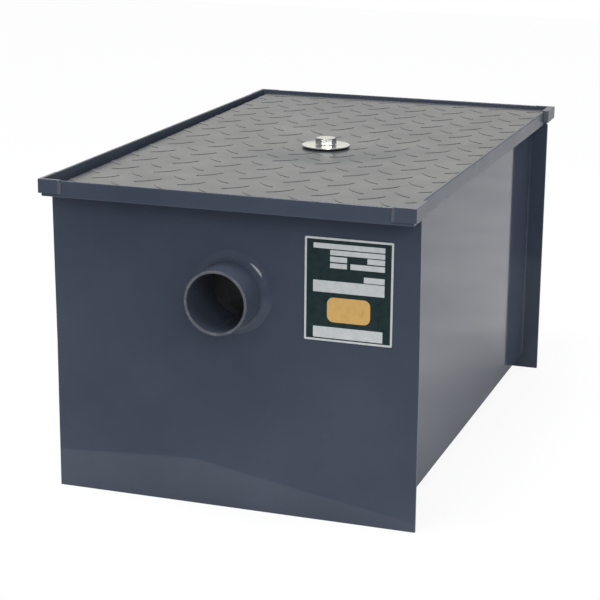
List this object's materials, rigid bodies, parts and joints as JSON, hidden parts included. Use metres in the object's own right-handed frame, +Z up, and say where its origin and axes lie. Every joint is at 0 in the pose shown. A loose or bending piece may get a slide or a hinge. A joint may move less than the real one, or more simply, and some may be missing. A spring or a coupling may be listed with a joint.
{
  "type": "grease trap",
  "caption": "Floor-standing welded steel grease trap with a raised rim, tread plate cover held by a centre bolt, pipe stubs and lift-out baffles.",
  "frame": {"origin": "on the floor, under the middle of the tank", "axes": "+Z up, +Y from the inlet end to the outlet end, +X to the right as seen from the inlet end"},
  "size_m": [0.3592, 0.6244, 0.3081],
  "materials": {
    "enamel": "glossy dark slate enamel over steel",
    "zinc": "bright zinc plate",
    "galvanised": "dull galvanised sheet",
    "rubber": "matt black",
    "nameplate": "blank printed plate, satin"
  },
  "bodies": {
    "tank": {"inlet_end_plate": "enamel", "outlet_end_plate": "enamel", "left_side_wall": "enamel", "right_side_wall": "enamel", "bottom_plate": "enamel", "front_rim_bar": "enamel", "rear_rim_bar": "enamel", "left_rim_bar": "enamel", "right_rim_bar": "enamel", "front_left_cap": "enamel", "front_right_cap": "enamel", "rear_left_cap": "enamel", "rear_right_cap": "enamel", "inlet_pipe": "enamel", "outlet_pipe": "enamel", "nameplate": "nameplate", "cover_gasket": "rubber", "inlet_left_guide": "enamel", "inlet_right_guide": "enamel", "middle_left_guide": "enamel", "middle_right_guide": "enamel", "outlet_left_guide": "enamel", "outlet_right_guide": "enamel", "inlet_baffle": "galvanised", "middle_baffle": "galvanised", "outlet_baffle": "galvanised", "hold_down_bar": "enamel", "left_bar_bracket": "enamel", "right_bar_bracket": "enamel", "bar_nut": "zinc"},
    "cover": {"cover": "enamel"},
    "washers": {"steel_washer": "zinc", "rubber_washer": "rubber"},
    "bolt": {"hold_down_bolt": "zinc"}
  },
  "joints": [
    {"name": "cover_lift", "type": "slide", "parent": "tank", "child": "cover", "axis": [0, 0, 1], "range_m": [0, 0.15]},
    {"name": "bolt_rise", "type": "slide", "parent": "cover", "child": "washers", "axis": [0, 0, 1], "range_m": [0, 0.01563]},
    {"name": "bolt_turn", "type": "hinge", "parent": "washers", "child": "bolt", "pos_m": [0, 0, 0.3011], "axis": [0, 0, 1], "range_deg": [0, 2880]}
  ],
  "couplings": [
    {"joint": "bolt_turn", "follows": "bolt_rise", "rad_per_m": 3215.8}
  ]
}
